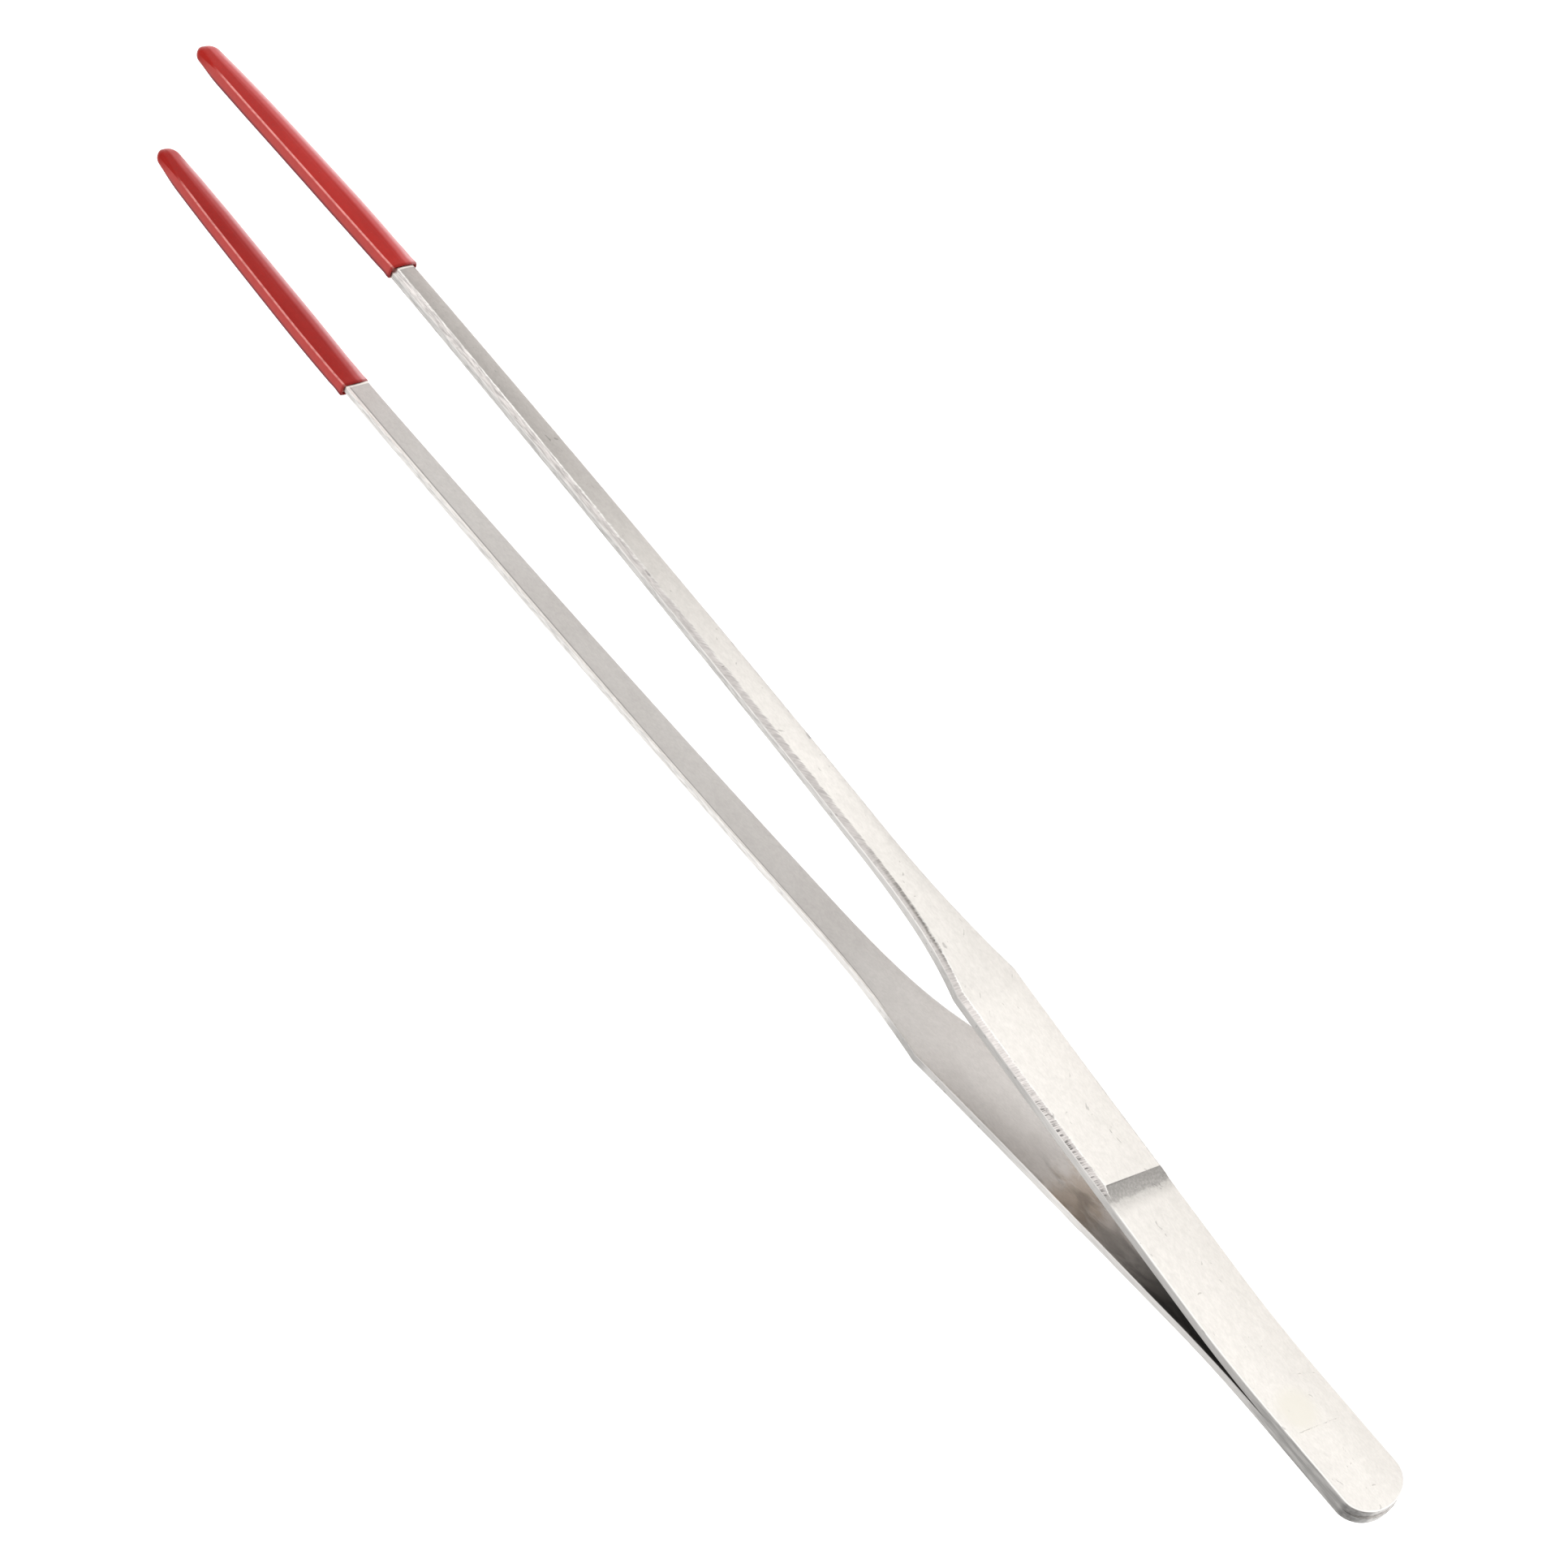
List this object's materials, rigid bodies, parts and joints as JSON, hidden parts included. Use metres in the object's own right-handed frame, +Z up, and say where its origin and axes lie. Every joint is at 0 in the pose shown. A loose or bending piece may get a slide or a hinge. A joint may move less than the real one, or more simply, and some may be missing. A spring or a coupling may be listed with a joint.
{
  "type": "aquascaping tweezers",
  "caption": "Long straight sprung tweezers with a flat welded heel, stepped wide grips, slender reaches and soft dipped tip sleeves, for planting and cleaning aquariums.",
  "frame": {"origin": "under the middle of the bounding box, on the surface that the tweezers' long narrow edges rest on", "axes": "+X from the heel to the tips, +Y the direction in which the jaws open (right arm on -Y, left arm on +Y), +Z up across the width of the strips"},
  "size_m": [0.2999, 0.0284, 0.0127],
  "materials": {
    "steel": "satin ground stainless steel, grain along the strip",
    "weld": "fused stainless steel nugget between the heel faces",
    "vinyl": "soft dipped red vinyl, smooth with a low sheen"
  },
  "bodies": {
    "heel": {"heel_leaf_right": "steel", "heel_leaf_left": "steel", "spot_weld": "weld"},
    "right_jaw": {"arm_right": "steel", "tip_sleeve_right": "vinyl"},
    "left_jaw": {"arm_left": "steel", "tip_sleeve_left": "vinyl"}
  },
  "joints": [
    {"name": "squeeze_right", "type": "hinge", "parent": "heel", "child": "right_jaw", "pos_m": [-0.1121, -0.00171, 0], "axis": [0, 0, 1], "range_deg": [0, 2.2], "stiffness_Nm_per_rad": 9},
    {"name": "squeeze_left", "type": "hinge", "parent": "heel", "child": "left_jaw", "pos_m": [-0.1121, 0.00171, 0], "axis": [0, 0, -1], "range_deg": [0, 2.2], "stiffness_Nm_per_rad": 9}
  ],
  "couplings": [
    {"joint": "squeeze_left", "follows": "squeeze_right", "ratio": 1}
  ]
}
